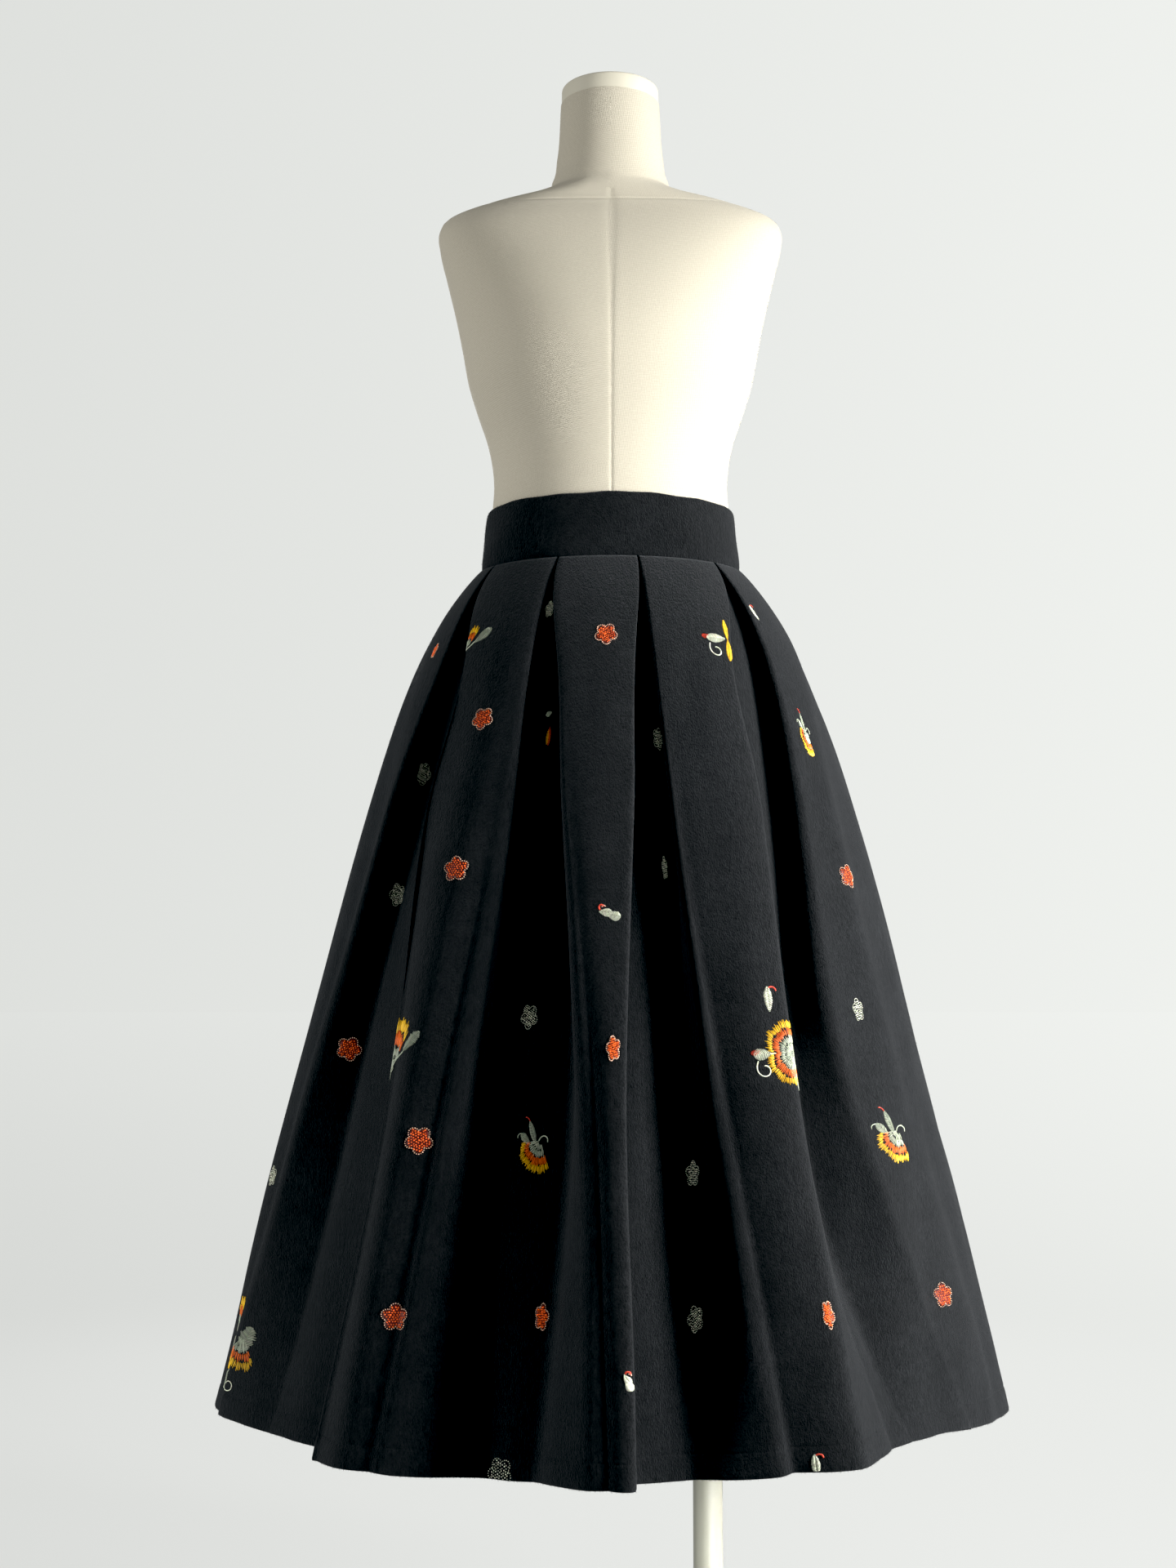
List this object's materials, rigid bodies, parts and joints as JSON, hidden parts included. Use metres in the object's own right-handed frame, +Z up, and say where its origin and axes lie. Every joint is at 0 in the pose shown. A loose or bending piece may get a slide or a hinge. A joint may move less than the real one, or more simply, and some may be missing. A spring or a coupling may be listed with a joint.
{
  "type": "a-line skirt on a dress form",
  "caption": "High-waisted midi A-line skirt of napped black wool with deep inverted pleats and scattered flower embroidery, resting on a limbless dress form with a stand.",
  "frame": {"origin": "on the floor, under the middle of the waist: the centre of the base's underside", "axes": "+Z up; the front of the skirt faces -Y; +X is the right side of a picture taken from the front"},
  "size_m": [0.7701, 0.7609, 1.605],
  "materials": {
    "wool_cloth": "matt napped wool, near black",
    "wool_band": "matt napped wool, stiffened, near black",
    "zip_tape": "black closed zip coil",
    "zip_metal": "black lacquer",
    "linen_cover": "off-white plain linen weave",
    "cream_cap": "satin cream",
    "stand_metal": "brushed",
    "stand_lacquer": "cream-grey lacquer"
  },
  "bodies": {
    "skirt_and_form": {"skirt_front": "wool_cloth", "skirt_back_left": "wool_cloth", "skirt_back_right": "wool_cloth", "waistband_front": "wool_band", "waistband_back_left": "wool_band", "waistband_back_right": "wool_band", "zip_coil": "zip_tape", "zip_slider": "zip_metal", "form_torso": "linen_cover", "form_neck_cap": "cream_cap", "form_flange": "stand_metal", "base_socket": "stand_metal", "form_pole": "stand_lacquer", "base_plate": "stand_lacquer"},
    "zip_pull": {"zip_pull": "zip_metal"}
  },
  "joints": [
    {"name": "zip_pull_hinge", "type": "hinge", "parent": "skirt_and_form", "child": "zip_pull", "pos_m": [0, 0.09959, 1.1444], "axis": [1, 0, 0], "range_deg": [0, 172]}
  ]
}
